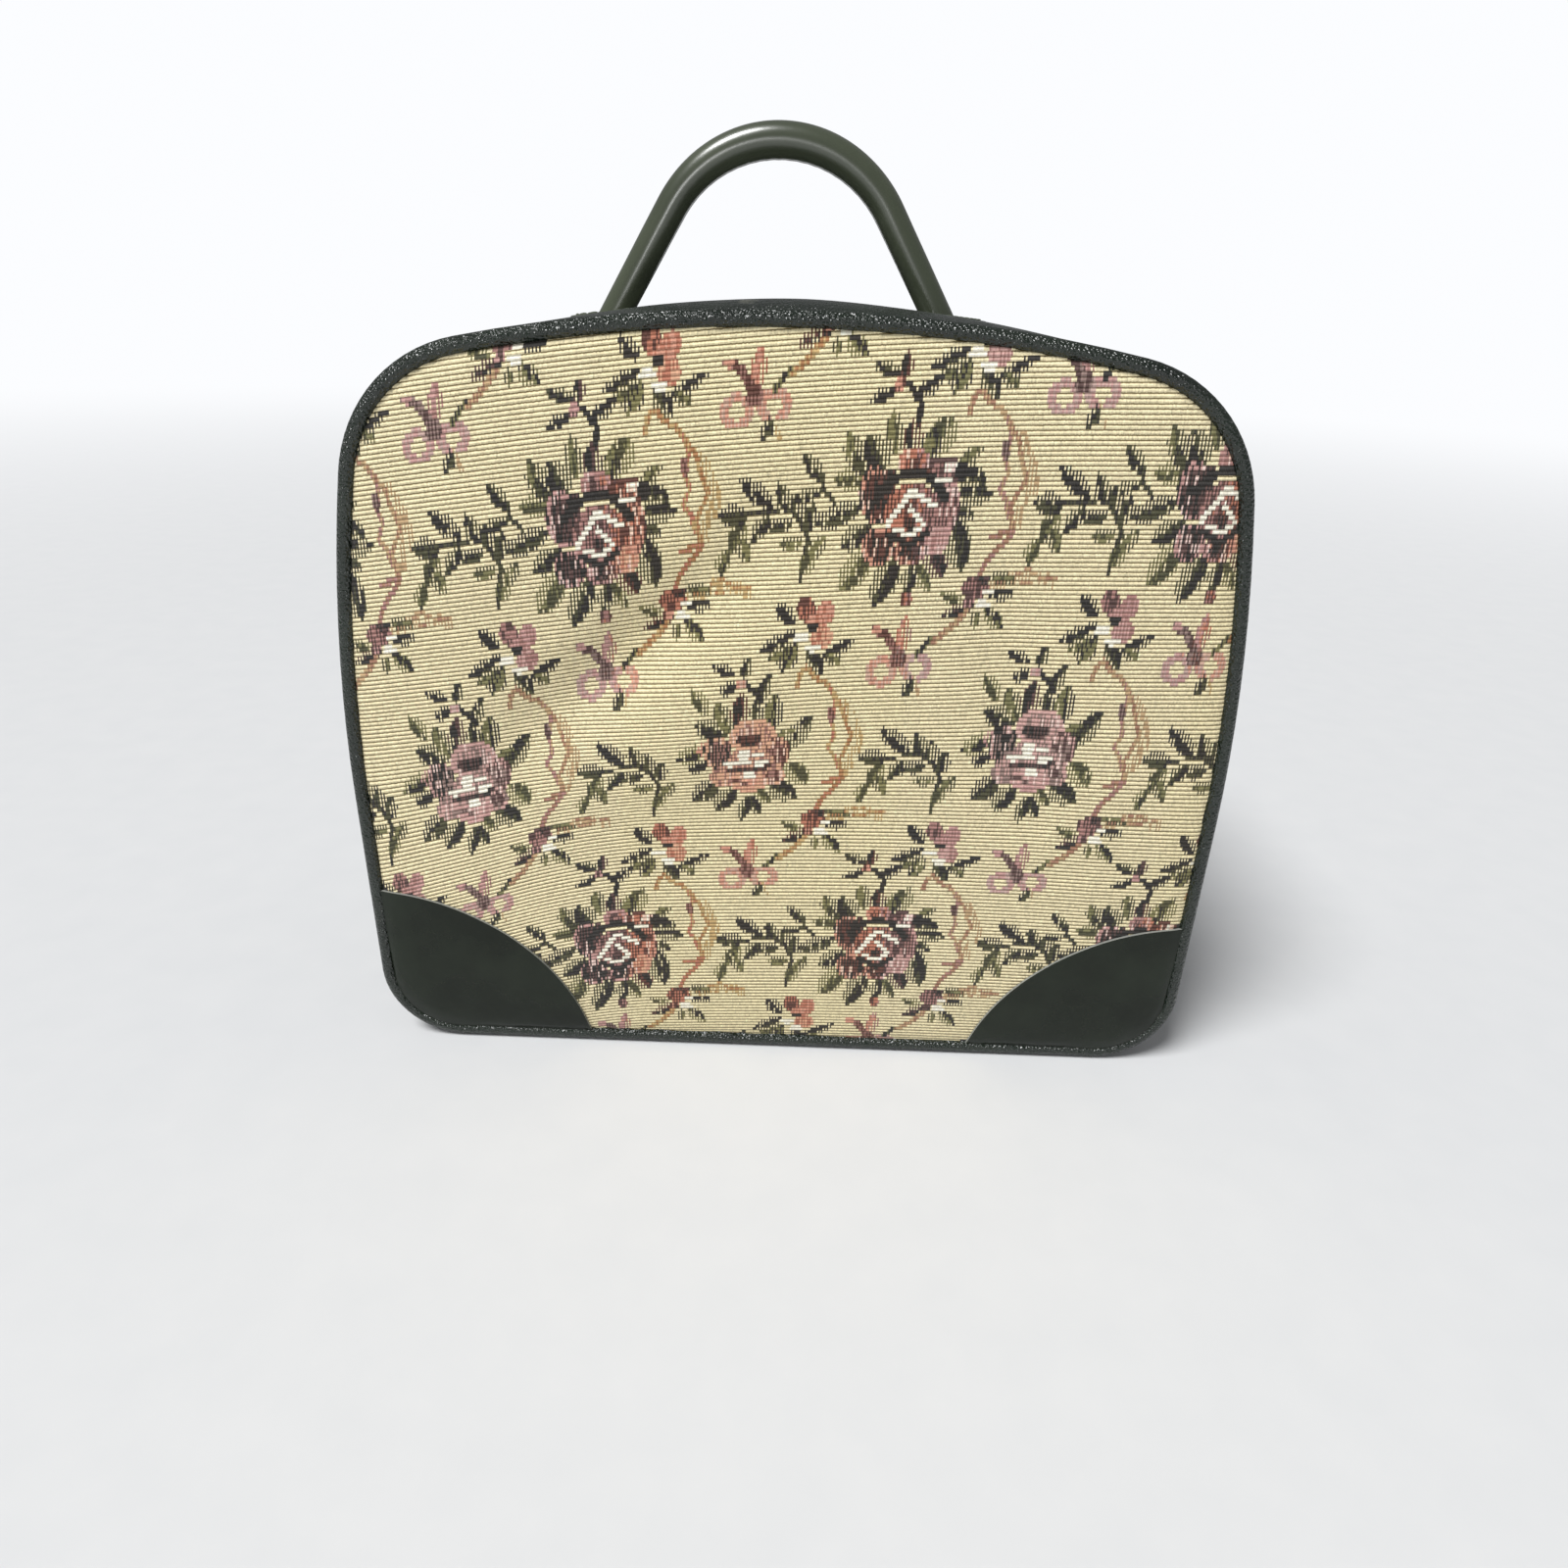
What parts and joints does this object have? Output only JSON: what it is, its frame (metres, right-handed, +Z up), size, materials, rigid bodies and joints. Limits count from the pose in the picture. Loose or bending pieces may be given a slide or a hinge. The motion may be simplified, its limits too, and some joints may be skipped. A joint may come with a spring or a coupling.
{
  "type": "cosmetic train case",
  "caption": "Soft-sided upright train case with woven floral panels, vinyl welts and gusset, a top handle and a zip-round front lid hinged at its bottom edge.",
  "frame": {"origin": "on the floor, under the middle of the case", "axes": "+X to the right of someone facing the lid, +Y from the lid to the back, +Z up"},
  "size_m": [0.2521, 0.118, 0.2638],
  "materials": {
    "tapestry": "ribbed jacquard weave",
    "pebbled_vinyl": "pebble grain, satin",
    "smooth_vinyl": "smooth, semi-gloss",
    "board": "pressed fibre",
    "lining": "plain weave",
    "zipper_tape": "woven tape",
    "zipper_coil": "nylon coil",
    "brass": "polished, worn",
    "cord": "twisted cord"
  },
  "bodies": {
    "body": {"base_boot": "pebbled_vinyl", "base_board": "board", "rear_band": "pebbled_vinyl", "back_tapestry": "tapestry", "back_board": "board", "back_welt": "pebbled_vinyl", "back_patch_left": "smooth_vinyl", "back_patch_right": "smooth_vinyl", "body_lining": "lining", "body_zipper_tape": "zipper_tape", "body_zipper_coil": "zipper_coil", "body_zipper_stops": "brass", "handle_tube": "smooth_vinyl", "handle_core": "cord", "handle_tab_left": "smooth_vinyl", "handle_tab_right": "smooth_vinyl"},
    "lid": {"front_tapestry": "tapestry", "front_board": "board", "front_welt": "pebbled_vinyl", "front_patch_left": "smooth_vinyl", "front_patch_right": "smooth_vinyl", "lid_band": "pebbled_vinyl", "lid_lining": "lining", "lid_zipper_tape": "zipper_tape", "lid_zipper_coil": "zipper_coil", "lid_zipper_stops": "brass"},
    "slider": {"zipper_slider": "brass"},
    "pull": {"zipper_pull": "brass"}
  },
  "joints": [
    {"name": "lid_hinge", "type": "hinge", "parent": "body", "child": "lid", "pos_m": [0, -0.0569, 0.0025], "axis": [1, 0, 0], "range_deg": [0, 90]},
    {"name": "slider_run", "type": "slide", "parent": "body", "child": "slider", "axis": [0, 0, 1], "range_m": [0, 0.036]},
    {"name": "pull_swing", "type": "hinge", "parent": "slider", "child": "pull", "pos_m": [0.1252, -0.0185, 0.056], "axis": [0, -1, 0], "range_deg": [0, 150]}
  ]
}
